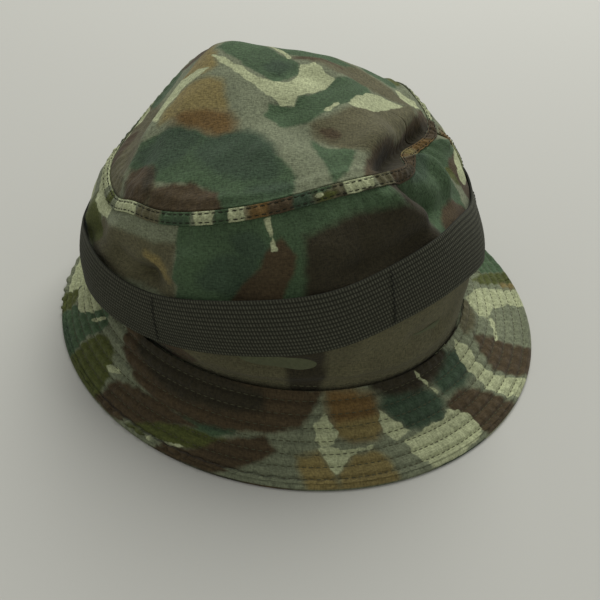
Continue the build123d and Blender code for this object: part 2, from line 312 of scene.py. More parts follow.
# tip: x, y in millimetres
tipCamo = {
    "khaki": [(0, (-5, -31), (4, -25), (11, -17), (21, -11), (31, 4), (40, 12), (42, 4), (36, -10),
        (31, -26), (26, -40), (22, -46), (9, -46), (-3, -38)), (0, (-18, 12), (-10, 19), (2, 26), (16, 26),
        (30, 22), (46, 16), (50, 6), (40, 8), (28, 9), (20, 8), (10, 9), (4, 7), (-2, 9), (-10, 12)),
        # the khaki patch over the tip's left slope is partly print and partly painted shade of that slope
        (0, (-75, -14), (-79, -28), (-83, -42), (-90, -60), (-112, -60), (-112, 24), (-84, 24)),
        (0, (-66, -60), (-46, -66), (-34, -74), (-30, -84), (-84, -84), (-82, -60))],
    "rust": [(0, (-67, -25), (-58, -22), (-44, -24), (-38, -29), (-34, -41), (-44, -40), (-52, -36),
        (-64, -32))],
    "ochre": [(0, (-70, 6), (-63, 24), (-56, 26), (-53, 12), (-51, 0), (-56, -5), (-66, -4)), (0, (-71, -20),
        (-65, -9), (-54, -6), (-46, -9), (-43, -19), (-42, -26), (-52, -25), (-64, -26), (-71, -27)),
        (8, (-10, 54), (12, 50))],
    "olive": [(16, (-60, 44), (-42, 54)), (12, (24, 44), (34, 36))],
    "green": [(0, (-54, 15), (-46, 24), (-34, 26), (-24, 14), (-14, 8), (-13, 0), (-17, -6), (-24, -7),
        (-34, -2), (-46, 8)), (0, (-30, 28), (-8, 28), (12, 24), (4, 18), (-12, 15), (-22, 15)),
        (0, (20, 10), (10, 9), (5, 4), (2, -2), (0, -6), (-5, -12), (-12, -15), (-13, -20), (-24, -20),
        (-26, -27), (-18, -32), (-7, -30), (-1, -25), (11, -14), (21, -1)), (0, (-4, -40), (3, -44),
        (16, -46), (13, -60), (8, -67), (4, -58), (-1, -48)), (0, (-82, -38), (-78, -31), (-70, -31),
        (-63, -33), (-52, -36), (-44, -40), (-34, -42), (-24, -48), (-14, -55), (-7, -64), (-8, -76),
        (-20, -80), (-36, -80), (-38, -70), (-49, -63), (-60, -60), (-67, -57), (-76, -50)), (18, (14, 40),
        (30, 30)), (18, (-44, 34), (-26, 46)), (14, (-82, 16), (-78, 34))],
    "teal": [(20, (-74, -38), (-64, -42), (-56, -40)), (24, (-46, -45), (-32, -49), (-20, -59)),
        (8, (-24, -68), (-10, -69)), (12, (-26, 2), (-20, 4)), (12, (-100, -40), (-92, -50))],
    # the brown patch from (19, -66) round to (66, -10) is painted shade, a softer rim to the dark hollow
    # along the dent; the other brown strokes are print
    "brown": [(3, (-16, 12), (-6, 15), (6, 16)), (6, (1, -34), (8, -37)), (16, (-22, 58), (2, 40), (12, 34)),
        (12, (-70, 34), (-58, 28)), (0, (-81, -42), (-74, -45), (-68, -52), (-66, -60), (-72, -68),
        (-82, -60)), (0, (-66, -61), (-60, -60), (-49, -62), (-38, -69), (-35, -78), (-50, -80), (-62, -77),
        (-68, -68)), (0, (19, -66), (20, -50), (24, -40), (29, -27), (35, -11), (41, 4), (46, 18), (60, 20),
        (66, -10), (50, -60)), (10, (-104, -24), (-92, 0))],
    # painted shade in the hollow along the dent and in the fold between the two brown patches
    "shadeAndDarkPrint": [(0, (22, -66), (23, -50), (26, -39), (31, -27), (37, -12), (44, 3), (50, 13), (60, 8),
        (56, -20), (46, -62)), (4, (-70, -50), (-68, -62))],
    "pale": [(0, (-54, 9), (-46, 5), (-34, -3), (-24, -8), (-17, -7), (-13, -1), (-13, 7), (-7, 10), (-3, 6),
        (3, 1), (0, -6), (-5, -12), (-12, -15), (-13, -20), (-19, -20), (-30, -12), (-41, -4), (-51, 4)),
        (0, (-79, -12), (-76, -3), (-69, 3), (-62, 2), (-54, -1), (-57, -5), (-64, -8), (-69, -15),
        (-73, -24)), (2.4, (-31, 26), (-26, 20), (-19, 12)), (0, (10, -15), (14, -6), (20, 3), (26, 8),
        (36, 7), (27, -6), (21, -12), (14, -16)), (2, (1, -22), (6, -17)), (20, (-100, 10), (-94, 24)),
        (10, (-16, 34), (-4, 32)), (9, (36, 24), (44, 20))],
}
# brim: angle, distance from edge 0 to root 1
brimCamo = {
    "khaki": [(16, (246, .98), (270, .97)), (12, (340, .92), (352, .96))],
    "rust": [(0, (284, 1.02), (290, 1.02), (297, .90), (296.6, .76), (295, .58), (292.6, .49), (287.5, .50),
        (284.6, .58), (283.5, .78))],
    "ochre": [(0, (285, .68), (296, .70), (295, .58), (292.6, .49), (287.5, .50), (284.6, .58)),
        (0, (274.5, .36), (279.5, .42), (281, .26), (282, .1), (282, -.1), (275, -.1)), (0, (281, -.1),
        (282, .16), (284, .26), (286.5, .37), (291, .38), (294, .26), (293.4, -.1)), (0, (369.5, .3),
        (371, -.05), (374, -.05), (372, .3))],
    "olive": [(0, (193, -.1), (193.5, .46), (196, .4), (199.5, .36), (200.5, -.1)), (0, (213, -.1),
        (214, .35), (216, .62), (220, .68), (224.5, .62), (227, .38), (228, -.1)), (0, (236, .08),
        (244, .36), (252, .43), (260, .42), (257, .26), (246, .13), (240, .04)), (0, (368, .78), (374, .55),
        (379, -.1), (373.5, -.1), (371.5, .3), (368, .6))],
    "green": [(0, (200, -.1), (200, .35), (206, .62), (213, .98), (217, .74), (213, .40), (214, -.1)),
        (0, (374, .8), (390, .9), (396, -.1), (379, -.1), (375, .45)), (12, (250, .54), (260, .54))],
    "teal": [(0, (297, .78), (301, .90), (306, .88), (311, .84), (315, .64), (312, .42), (305, .43),
        (301.5, .47), (299, .62)), (0, (316, .92), (326, .98), (333, .80), (329, .62), (322, .56),
        (315, .62)), (8, (203, .12), (211, .10)), (14, (172, .9), (184, .96)), (14, (248, .64), (260, .60))],
    "brown": [(0, (227, .0), (229, .42), (236, .52), (246, .52), (253, .45), (245, .35), (238, .12),
        (233, -.02)), (0, (243, -.1), (246, .1), (253, .22), (259, .42), (268, .55), (270.5, .4),
        (265.5, .24), (260, .05), (252, -.1)), (0, (222, 1.02), (226, .74), (234, .56), (244, .48),
        (256, .50), (268, .56), (277, .66), (281, .86), (284, 1.02)), (0, (315, .56), (320, .58), (324, .50),
        (327, .30), (329.5, -.1), (320, -.1), (316.5, .08), (316.5, .32), (314, .48)), (0, (341, .82),
        (345, .54), (346.5, .28), (349, -.1), (340, -.1), (336, .2), (333.5, .43), (337, .68))],
    # painted shade on the brim near the root at the front, under the crown
    "shadeAndDarkPrint": [(18, (232, .92), (246, .84), (266, .86)), (14, (299, .98), (310, .93), (324, .97))],
    "pale": [(0, (279.5, .68), (283, .78), (284.6, .60), (283, .50), (280.5, .46), (279, .52)),
        (0, (279.5, .45), (286, .43), (291.5, .43), (291, .38), (286, .36), (283.8, .25), (281.8, .16),
        (280.8, .28)), (0, (296.5, .77), (299, .62), (301.5, .47), (297.5, .42), (294.8, .52)),
        (0, (313.5, .49), (317, .34), (317, .12), (314, .03), (305, .0), (301, .02), (299.5, .2), (299, .38),
        (305, .44), (311, .43)), (0, (333, .95), (335, .78), (332.5, .64), (332, .46), (335, .2), (339, -.1),
        (332.5, -.1), (329.5, .12), (327, .36), (327.5, .62), (329, .86)), (0, (355, .97), (363, .8),
        (367, .55), (371, -.1), (364, -.1), (362, .3), (358, .55), (351.5, .64), (351, .82)), (4, (352, .6),
        (345, .5)), (1.6, (312, .96), (314, .70)), (0, (176, .2), (172, .8), (190, 1.05), (212, 1.05),
        (210, .72), (204, .42), (197, .42), (194, .47), (193, .16)), (0, (240.5, .12), (243, .13),
        (247, .16), (251.5, .20), (247, .11), (243, .06)), (3, (211, .62), (214, .76)), (3, (225, .45),
        (229, .50))],
}
# strip over the top seam: angle, share of its width
stripCamo = {
    "khaki": [(0, (232, -1), (232, 2), (243, 2), (242, -1)), (0, (285, -1), (284, 2), (296, 2), (297, -1)),
        (0, (306, -1), (306, 2), (313, 2), (313, -1))],
    "rust": [(0, (267, -1), (268, 2), (277, 2), (275, -1)), (0, (338, -1), (338, 2), (345, 2), (344, -1)),
        (0, (352, -1), (352, 2), (366, 2), (365, -1))],
    "ochre": [(0, (344, -1), (345, 2), (353, 2), (352, -1))],
    "olive": [(0, (209, -1), (210, 2), (215, 2), (214, -1)), (5, (288, .2), (293, .4))],
    "green": [(0, (241, -1), (242, 2), (252, 2), (251, -1)), (0, (257.5, -1), (258, 2), (263, 2), (262, -1)),
        (3, (286, .8), (292, .9))],
    "teal": [(0, (279, -1), (279, 2), (286, 2), (287, -1)), (4, (244, .2), (249, .3))],
    "brown": [(0, (272, -1), (275, 2), (281, 2), (280, -1)), (0, (312, -1), (312, 2), (338, 2), (337, -1)),
        (0, (364, -1), (364, 2), (378, 2), (376, -1))],
    # painted shade: two short dark marks on the strip at the right front, where it runs into shade
    "shadeAndDarkPrint": [(4, (294, .1), (304, .1)), (4, (320, .5), (330, .4))],
    "pale": [(0, (218, -1), (219, 2), (232, 2), (231, -1)), (0, (252.4, -1), (253, 2), (258.6, 2),
        (257.4, -1)), (0, (262.4, -1), (263, 2), (267, 2), (266.4, -1)), (0, (296, 0), (296.5, 2), (306, 2),
        (305, .1)), (0, (176, -1), (176, 2), (206, 2), (204, -1)), (2, (287, .5), (289, .5))],
}
camoOrder = ["khaki", "rust", "ochre", "olive", "green", "teal", "brown", "shadeAndDarkPrint", "pale"]


def scatter(camo, draw, uSpan, vSpan, count, width, run):
    # more strokes of the same kind over the rest of the cloth
    camo = {colour: list(strokes) for colour, strokes in camo.items()}
    for colour in camoOrder:
        for _ in range(count):
            u, v = draw.uniform(*uSpan), draw.uniform(*vSpan)
            du, dv = draw.normal(0, run[0]), draw.normal(0, run[1])
            bend = draw.normal(0, 0.3)
            camo[colour].append((draw.uniform(0.5, 1) * width, (u - du, v - dv),
                                 (u + du * bend, v - dv * bend), (u + du, v + dv)))
    return camo


draw = np.random.default_rng(11)
wallCamo = scatter(wallCamo, draw, (10, 172), (0.0, 1.0), 9, 24, (8, 0.10))
brimCamo = scatter(brimCamo, draw, (24, 168), (0.0, 1.0), 9, 24, (8, 0.14))
stripCamo = scatter(stripCamo, draw, (26, 170), (0.4, 0.6), 4, 11, (5, 0.1))
underCamo = scatter({colour: [] for colour in camoOrder}, draw, (0, 360), (0.0, 1.0), 17, 24, (8, 0.14))


# Folds: height in millimetres, spread, then points.
wallFolds = [
    (4.6, 7.5, (305, .97), (311, .85), (317, .73), (320, .62)),  # crest of the fold beside the dent
    (-6.5, 8, (314, .97), (321, .86), (327, .70)),  # the valley behind it
    (5.0, 6, (335, .98), (341, .85), (339, .66)),
    (-3.0, 7, (350, .96), (354, .84), (352, .68)), (3.0, 7, (364, .96), (368, .8)),
    (-4.5, 6, (236, .60), (240, .70)), (-2.6, 5, (224, .70), (238, .62)), (2.2, 6, (246, .64), (252, .82)),
    (-2.2, 7, (262, .56), (266, .72)), (1.6, 8, (282, .60), (286, .82)), (-2.4, 7, (206, .58), (212, .76)),
    (2.0, 7, (220, .60), (224, .86)), (-1.5, 6, (292, .60), (298, .84)), (1.8, 6, (200, .62), (203, .84)),
    (2.2, 6, (250, .13), (300, .13), (338, .14)), (-1.6, 4, (262, .24), (282, .20)),
    (-1.6, 5, (306, .26), (322, .20)), (1.6, 6, (210, .12), (240, .14)),
]
tipFolds = [
    (-9.0, 5, (25, -58), (29, -46), (34, -33), (39, -19), (45, -5), (50, 6)),  # hollow along the dent
    (4.5, 6.5, (18, -47), (24, -35), (29, -21), (35, -7), (41, 7), (45, 16)),  # roll beside it
    (-2.2, 8, (8, -44), (-12, -34), (-22, -18)), (1.6, 9, (-4, -56), (-28, -46)),
    (-1.6, 6, (4, -8), (-12, 2)), (1.3, 6, (12, 4), (-8, 12)),
    (-1.6, 10, (-90, -40), (-60, -36), (-34, -42)), (1.4, 8, (-84, -58), (-50, -60)),
    (2.0, 5, (-66, 8), (-72, -10), (-79, -32), (-84, -50)), (-2.0, 8, (-78, 4), (-86, -16), (-92, -34)),
]


def linear(hexColour):
    channels = [int(hexColour[i:i + 2], 16) / 255 for i in (1, 3, 5)]
    return tuple(c / 12.92 if c <= 0.04045 else ((c + 0.055) / 1.055)**2.4 for c in channels) + (1.0,)


def addNode(tree, kind, inputs=None, **settings):
    node = tree.nodes.new(kind)
    for name, value in settings.items():
        setattr(node, name, value)
    for name, value in (inputs or {}).items():
        if isinstance(value, bpy.types.NodeSocket):
            tree.links.new(value, node.inputs[name])
        else:
            node.inputs[name].default_value = value
    return node


def only(obj):
    bpy.ops.object.select_all(action="DESELECT")
    obj.select_set(True)
    bpy.context.view_layer.objects.active = obj


def clothPiece(name, surface, counts, thickness, pattern=None, closed=False):
    # a grid laid on surface(u, v), u and v from 0 to 1, which gives the outer face and the panel's measure
    bpy.ops.mesh.primitive_grid_add(x_subdivisions=counts[0], y_subdivisions=counts[1], size=1)
    piece = bpy.context.object
    piece.name = piece.data.name = name
    mesh = piece.data
    flat = np.empty(len(mesh.vertices) * 3)
    mesh.vertices.foreach_get("co", flat)
    u, v = flat.reshape(-1, 3)[:, 0] + 0.5, flat.reshape(-1, 3)[:, 1] + 0.5
    points, panelU, panelV, panel = surface(u, v)
    mesh.vertices.foreach_set("co", (points * mm).ravel())
    su, sv = panelScale[panel]
    loops = np.empty(len(mesh.loops), int)
    mesh.loops.foreach_get("vertex_index", loops)
    flatUv = np.stack([panelU[loops] * su, panelV[loops] * sv], axis=1) / uvUnit
    mesh.uv_layers.active.data.foreach_set("uv", flatUv.ravel())
    if pattern:
        for colour in camoOrder:
            attribute = mesh.attributes.new("camo" + colour.title(), "FLOAT", "POINT")
            attribute.data.foreach_set("value", patternField(panel, panelU, panelV, pattern[colour]))
    mesh.update()
    if closed:
        only(piece)
        bpy.ops.object.mode_set(mode="EDIT")
        bpy.ops.mesh.select_all(action="SELECT")
        bpy.ops.mesh.remove_doubles(threshold=1e-6)
        bpy.ops.object.mode_set(mode="OBJECT")
    only(piece)
    modifier = piece.modifiers.new("Solidify", "SOLIDIFY")
    modifier.thickness = thickness * mm
    modifier.offset = -1
    modifier.use_even_offset = False
    bpy.ops.object.modifier_apply(modifier=modifier.name)
    bpy.ops.object.shade_smooth()
    return piece


def wear(piece, material, slot, *nodes):
    piece.data.materials.clear()
    piece.data.materials.append(material)
    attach(piece, "root")
    if nodes:
        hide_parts(*nodes)


# one stitch: a slim bead of thread, copied along every row
bpy.ops.mesh.primitive_uv_sphere_add(segments=6, ring_count=5, radius=1)
stitchPattern = bpy.context.object
bpy.ops.object.shade_smooth()


def sewRow(name, starts, ends, lifts, thick):
    copies = []
    for start, end, up in zip(starts, ends, lifts):
        way = Vector(end - start)
        side = Vector(up).cross(way.normalized()).normalized()
        top = way.normalized().cross(side).normalized()
        middle = Vector((start + end) / 2)
        place = Matrix((side * thick / 2, top * thick / 2, way * 0.5)).transposed().to_4x4()
        place.translation = middle
        copy = stitchPattern.copy()
        copy.data = stitchPattern.data.copy()
        copy.data.transform(Matrix.Scale(mm, 4) @ place)
        bpy.context.collection.objects.link(copy)
        copies.append(copy)
    bpy.ops.object.select_all(action="DESELECT")
    for copy in copies:
        copy.select_set(True)
    bpy.context.view_layer.objects.active = copies[0]
    bpy.ops.object.join()
    row = bpy.context.object
    row.name = row.data.name = name
    return row


cottonCamo = {  # printed cotton twill, washed soft: no gloss, colours a little faded
    # the dark colour is painted shade where the pattern tables lay it in hollows and under things; in the
    # strokes scattered over the back it is print
    "base": "#747a60", "khaki": "#5c5940", "rust": "#6c5630", "ochre": "#7d7145", "olive": "#4f5529",
    "green": "#465a3e", "teal": "#3b4c38", "brown": "#493e2a", "shadeAndDarkPrint": "#343021", "pale": "#a9af87",
    "softness": {"khaki": 2.4, "rust": 4.0, "ochre": 2.4, "olive": 1.2, "green": 1.1, "teal": 3.0,
                 "brown": 1.5, "shadeAndDarkPrint": 2.6, "pale": 0.4},
    "ragged": 4.5, "raggedScale": 170.0, "yarns": (48.0, 130.0), "flecks": (0.64, 1.36), "fleckBump": 0.55,
    "fleckDepth": 0.0006, "cloudScale": 60.0, "clouds": (0.88, 1.12), "roughness": 0.95, "specular": 0.2,
    "sheen": 0.05, "sheenRoughness": 0.6,
}


def bareMaterial(name, roughness):
    material = bpy.data.materials.new(name)
    material.use_nodes = True
    tree = material.node_tree
    shader = tree.nodes["Principled BSDF"]
    shader.inputs["Roughness"].default_value = roughness
    shader.inputs["Specular IOR Level"].default_value = cottonCamo["specular"]
    return material, tree, shader, addNode(tree, "ShaderNodeTexCoord").outputs


def mathNode(tree, operation, *values):
    return addNode(tree, "ShaderNodeMath", dict(enumerate(values)), operation=operation).outputs[0]


def rangeNode(tree, value, low, high, toLow=0.0, toHigh=1.0, **settings):
    inputs = {"Value": value, "From Min": low, "From Max": high, "To Min": toLow, "To Max": toHigh}
    return addNode(tree, "ShaderNodeMapRange", inputs, **settings).outputs[0]


def noiseNode(tree, place, scale, detail, **inputs):
    inputs.update({"Vector": place, "Scale": scale, "Detail": detail})
    return addNode(tree, "ShaderNodeTexNoise", inputs).outputs["Fac"]


def mixNode(tree, factor, first, second, blend="MIX"):
    # the colour sockets of the mix node are its inputs 6 and 7 and its output 2
    return addNode(tree, "ShaderNodeMix", {"Factor": factor, 6: first, 7: second}, data_type="RGBA",
                   blend_type=blend).outputs[2]


def addRelief(tree, shader, height, strength, distance):
    relief = addNode(tree, "ShaderNodeBump", {"Height": height, "Strength": strength, "Distance": distance})
    tree.links.new(relief.outputs[0], shader.inputs["Normal"])


def camoMaterial(name):
    material, tree, shader, place = bareMaterial(name, cottonCamo["roughness"])
    ragged = noiseNode(tree, place["Object"], cottonCamo["raggedScale"], 4.0)
    lift = mathNode(tree, "MULTIPLY", mathNode(tree, "SUBTRACT", ragged, 0.5), cottonCamo["ragged"])
    colour = linear(cottonCamo["base"])
    for step, key in enumerate(camoOrder):
        field = addNode(tree, "ShaderNodeAttribute", attribute_name="camo" + key.title())
        grown = mathNode(tree, "ADD" if step % 2 else "SUBTRACT", field.outputs["Fac"], lift)
        edge = cottonCamo["softness"][key]
        mask = rangeNode(tree, grown, -edge, edge, interpolation_type="SMOOTHSTEP")
        colour = mixNode(tree, mask, colour, linear(cottonCamo[key]))
    # slubs of warp and weft: yarns 0.5 mm apart in the cloth, drawn about 0.8 mm apart so that they show
    long, short = cottonCamo["yarns"]
    yarns = []
    for stretch in ((long, short, 1.0), (short, long, 1.0)):
        lay = addNode(tree, "ShaderNodeMapping", {"Vector": place["UV"], "Scale": stretch})
        yarns.append(noiseNode(tree, lay.outputs[0], 1.0, 2.0, Roughness=0.6))
    flecks = mathNode(tree, "ADD", *yarns)
    weave = rangeNode(tree, flecks, 0.72, 1.28, *cottonCamo["flecks"])
    cloudy = noiseNode(tree, place["Object"], cottonCamo["cloudScale"], 3.0)
    faded = rangeNode(tree, cloudy, 0.3, 0.7, *cottonCamo["clouds"])
    worn = mixNode(tree, 1.0, colour, mathNode(tree, "MULTIPLY", weave, faded), "MULTIPLY")
    tree.links.new(worn, shader.inputs["Base Color"])
    addRelief(tree, shader, flecks, cottonCamo["fleckBump"], cottonCamo["fleckDepth"])
    shader.inputs["Sheen Weight"].default_value = cottonCamo["sheen"]
    shader.inputs["Sheen Roughness"].default_value = cottonCamo["sheenRoughness"]
    return material


def plainMaterial(name, colour, roughness=0.9, grain=600.0, low=0.85, high=1.12):
    material, tree, shader, place = bareMaterial(name, roughness)
    spread = rangeNode(tree, noiseNode(tree, place["Object"], grain, 3.0), 0.3, 0.7, low, high)
    tree.links.new(mixNode(tree, 1.0, linear(colour), spread, "MULTIPLY"), shader.inputs["Base Color"])
    return material


# groove is painted shade: the colour the band is darkened to between its ribs and floats
bandWeave = {"colour": "#5b5c4c", "groove": "#25261c", "ribs": 14, "dotPitch": 1.25, "mapWidth": 0.27,
             "dotShade": 0.12, "relief": 0.5, "reliefDepth": 0.0005}


def ribbedElastic():  # woven elastic: ribs along the band, each a row of fine slanted floats
    material = plainMaterial("wovenElastic", bandWeave["colour"], 0.8, 900.0, 0.72, 1.3)
    tree = material.node_tree
    shader = tree.nodes["Principled BSDF"]
    plain = shader.inputs["Base Color"].links[0].from_socket
    place = addNode(tree, "ShaderNodeTexCoord")
    parts = addNode(tree, "ShaderNodeSeparateXYZ", {"Vector": place.outputs["UV"]}).outputs
    # mapWidth is the band's width in the UV map
    across = mathNode(tree, "MULTIPLY", parts["Y"], math.pi * bandWeave["ribs"] / bandWeave["mapWidth"])
    rib = mathNode(tree, "ABSOLUTE", mathNode(tree, "SINE", across))
    along = mathNode(tree, "MULTIPLY", parts["X"], 2 * uvUnit * math.pi / bandWeave["dotPitch"])
    slant = mathNode(tree, "SINE", mathNode(tree, "ADD", along, across))
    height = mathNode(tree, "MULTIPLY", rib, rangeNode(tree, slant, -0.6, 1.0, bandWeave["dotShade"]))
    # painted shade: darker towards the groove colour between the ribs and floats, the plain colour on their
    # tops
    grooveShadedWeave = mixNode(tree, height, linear(bandWeave["groove"]), plain)
    tree.links.new(grooveShadedWeave, shader.inputs["Base Color"])
    addRelief(tree, shader, height, bandWeave["relief"], bandWeave["reliefDepth"])
    return material


cottonTwill = camoMaterial("printedCottonTwill")
stripTwill = camoMaterial("printedCottonTape")
brimTwill = camoMaterial("printedCottonBrim")
spunThread = plainMaterial("spunPolyesterThread", "#585842")
darkThread = plainMaterial("darkSpunThread", "#2b2c20")
tackThread = plainMaterial("tackThread", "#2a2b24")
canvas = plainMaterial("stiffenedInterlining", "#c9c6b8")
liningTwill = plainMaterial("cottonSweatband", "#5d6148")
elasticWeave = ribbedElastic()


wallLook = {"wave": 0.55, "waveSize": 42.0, "crease": 0.22, "creaseSize": 13.0, "pucker": 0.35,
            "puckerPitch": 7.0, "rootFade": 0.12, "seamFade": 0.10, "gripLevel": 0.45, "gripSpread": 0.13,
            "grip": 0.8, "tuck": 4.0, "tuckRise": 2.5, "tuckSpread": 4.5,
            "tucks": ((312, 34, 1.0), (238, 7, 0.8), (218, 9, 0.5)), "counts": (300, 108)}


def bandEdge(angle):
    return hat["bandHeight"] + bumps(angle, hat["bandBumps"]) + hat["bandWidth"] / 2


def wallShift(angle, level):
    # how far the cloth stands off its plain form, fading out at both seams
    points = wallPoint(angle, level)
    fade = np.clip(level / wallLook["rootFade"], 0, 1) * np.clip((1 - level) / wallLook["seamFade"], 0, 1)
    underBand = 1 - wallLook["grip"] * np.exp(-((level - wallLook["gripLevel"]) / wallLook["gripSpread"])**4)
    soft = wallLook["wave"] * wrinkles(points, wallLook["waveSize"], 3)
    soft += wallLook["crease"] * wrinkles(points, wallLook["creaseSize"], 5)
    pucker = np.cos(2 * math.pi * (angle * 1.7) / wallLook["puckerPitch"] + 2 * np.sin(np.radians(angle * 7)))
    near = np.exp(-((1 - level) / 0.16)**2) + 0.7 * np.exp(-(level / 0.10)**2)
    above = points[..., 2] - bandEdge(angle) - wallLook["tuckRise"]
    tuck = -wallLook["tuck"] * np.exp(-(above / wallLook["tuckSpread"])**2) * bumps(angle, wallLook["tucks"])
    folded = (soft * underBand + tuck + foldField("wall", angle, level, wallFolds)) * fade
    return folded + wallLook["pucker"] * pucker * near * fade**0.5


def wallFace(angle, level, lift):
    return raised(wallPoint, angle, level, wallShift(angle, level) + lift)


def wallHalf(start, end):
    def surface(u, v):
        angle = start + (end - start) * u
        return wallFace(angle, v, hat["cloth"] + 0 * v), angle, v, "wall"
    return surface


seamTurn = 0.09
wallSpans = {"front": (hat["rightSeam"] + seamTurn, hat["leftSeam"] + 360 - seamTurn),
             "back": (hat["leftSeam"] + seamTurn, hat["rightSeam"] - seamTurn)}
for side, span in wallSpans.items():
    wall = clothPiece("crownWall" + side.title(), wallHalf(*span), wallLook["counts"], hat["cloth"], wallCamo)
    wear(wall, cottonTwill, "crown_cloth", "crown_wall_" + side)
print("crown wall made")


tipLook = {"wave": 0.7, "waveSize": 48.0, "crease": 0.22, "creaseSize": 15.0, "pucker": 0.35,
           "puckerPitch": 7, "seamRoll": 0.8, "rimFade": 0.07, "middleFade": 0.05, "counts": (360, 84)}


def tipFace(angle, share):
    points = tipPoint(angle, share)
    normal = normals(lambda a, s: tipPoint(a, 1 - s), angle, 1 - share)
    normal = np.where((share < 0.02)[..., None], (0.0, 0.0, 1.0), normal)
    fade = np.clip((1 - share) / tipLook["rimFade"], 0, 1) * np.clip(share / tipLook["middleFade"], 0, 1)
    shift = tipLook["wave"] * wrinkles(points, tipLook["waveSize"], 8)
    shift += tipLook["crease"] * wrinkles(points, tipLook["creaseSize"], 9)
    shift = (shift + foldField("tip", points[..., 0], points[..., 1], tipFolds)) * fade
    turn = 2 * math.pi * angle * 1.35 / tipLook["puckerPitch"]
    pucker = tipLook["pucker"] * np.cos(turn + 2 * np.sin(np.radians(angle * 5)))
    shift += pucker * np.exp(-((1 - share) / 0.10)**2) * fade**0.5
    roll = np.exp(-((1 - share - 0.06) / 0.03)**2) * np.clip((1 - share) / 0.03, 0, 1)
    shift += tipLook["seamRoll"] * roll
    return points + normal * (shift + hat["cloth"])[..., None]


def tipSurface(u, v):
    angle, share = 360 * u, 1 - v
    plain = tipPoint(angle, share)
    return tipFace(angle, share), plain[..., 0], plain[..., 1], "tip"


tip = clothPiece("crownTip", tipSurface, tipLook["counts"], hat["cloth"], tipCamo, closed=True)
wear(tip, cottonTwill, "crown_cloth", "crown_tip")
print("crown tip made")


# The strip over the top seam, and its stitches.
stripLook = {"width": 5.5, "ripple": 0.38, "ripplePitch": 5.2, "crown": 0.35, "groove": 0.30,
             "grooveWidth": 0.55, "counts": (900, 16), "inset": 1.0}
stripSewing = {"thick": 0.5, "pitch": 2.8, "length": 1.9, "radius": 82, "lift": 0.12}
stripLift = hat["cloth"] + hat["plyGap"] + hat["strip"]


def stripFace(angle, share, lift):
    below = stripLook["width"] * (1 - share)
    level = rimLevel(angle, below)
    base = wallFace(angle, level, stripLift + lift)
    crown = stripLook["crown"] * (1 - (2 * share - 1)**4)
    upper, lower = below - stripLook["inset"], below - stripLook["width"] + stripLook["inset"]
    wide = stripLook["grooveWidth"]
    groove = -stripLook["groove"] * (np.exp(-(upper / wide)**2) + np.exp(-(lower / wide)**2))
    turn = 2 * math.pi * angle * 1.6 / stripLook["ripplePitch"]
    ripple = stripLook["ripple"] * np.sin(turn + 3 * np.sin(np.radians(angle * 6)))
    shift = crown + groove + ripple * np.sin(math.pi * share)
    return base + normals(wallPoint, angle, level) * shift[..., None]


def stripSurface(u, v):
    angle = 90 + 360 * u
    return stripFace(angle, v, 0 * v), angle, v, "strip"


strip = clothPiece("tipStrip", stripSurface, stripLook["counts"], hat["strip"], stripCamo, closed=True)
wear(strip, stripTwill, "strip_cloth", "tip_strip")


def sewAround(name, face, up, v, sewing, material, node):
    # a row of stitches from the middle of the back round to it, clear of itself where it ends
    start, end = 90.6, 449.4
    count = int((end - start) * sewing["radius"] * math.pi / 180 / sewing["pitch"])
    middle = start + (np.arange(count) + 0.5) * (end - start) / count
    half = sewing["length"] / sewing["pitch"] * (end - start) / count / 2
    v = v + 0 * middle
    row = sewRow(name, face(middle - half, v), face(middle + half, v), up(middle), sewing["thick"])
    wear(row, material, "thread", node)


for name, below in (("Upper", stripLook["inset"]), ("Lower", stripLook["width"] - stripLook["inset"])):
    share = 1 - below / stripLook["width"]
    sewAround("tipStitch" + name, lambda a, s: stripFace(a, s, stripSewing["lift"] + 0 * a),
              lambda a, b=below: normals(wallPoint, a, rimLevel(a, b)), share, stripSewing, darkThread,
              "tip_stitch_" + name.lower())
print("strip made")


# The strips over the side seams.
sideLook = {"width": 7.0, "crown": 0.25, "rise": 4.0, "gap": 0.3, "counts": (12, 160), "insetTurn": 0.58,
            "sewRise": 5.0, "sewGap": 1.0, "sewLift": 0.3, "pitch": 2.9, "wallHeight": 108,
            "stitchShare": 0.36}
sideHalf = sideLook["width"] / hat["bellyHalf"][0] * 90 / math.pi


def sideStrip(middle):
    def surface(u, v):
        angle = middle - sideHalf + 2 * sideHalf * u
        low = rootLevel(angle, sideLook["rise"])
        high = rimLevel(angle, stripLook["width"] + sideLook["gap"])
        level = low + (high - low) * v
        crown = sideLook["crown"] * (1 - (2 * u - 1)**4)
        return wallFace(angle, level, stripLift + crown), angle, level, "wall"
    return surface


for side, middle in (("left", hat["leftSeam"]), ("right", hat["rightSeam"])):
    piece = clothPiece("sideStrip" + side.title(), sideStrip(middle), sideLook["counts"], hat["strip"],
                       wallCamo)
    wear(piece, stripTwill, "strip_cloth", "side_strip_" + side)
    half = sideHalf - sideLook["insetTurn"]
    for row, angle in (("a", middle - half), ("b", middle + half)):
        low = float(rootLevel(angle, sideLook["sewRise"]))
        high = float(rimLevel(angle, stripLook["width"] + sideLook["sewGap"]))
        count = int((high - low) * sideLook["wallHeight"] / sideLook["pitch"])
        levels = low + (np.arange(count) + 0.5) * (high - low) / count
        step = sideLook["stitchShare"] * (high - low) / count
        angles = np.full(count, float(angle))
        lift = np.full(count, stripLift + sideLook["sewLift"])
        rowPiece = sewRow("sideStitch" + side.title() + row.upper(), wallFace(angles, levels - step, lift),
                          wallFace(angles, levels + step, lift), normals(wallPoint, angles, levels),
                          stripSewing["thick"])
        wear(rowPiece, darkThread, "thread", f"side_stitch_{side}_{row}")
print("side strips made")

# The row just above the brim.
rootSewing = {"thick": 0.5, "pitch": 3.0, "length": 2.1, "radius": 94, "rise": 3.5, "lift": 0.1}


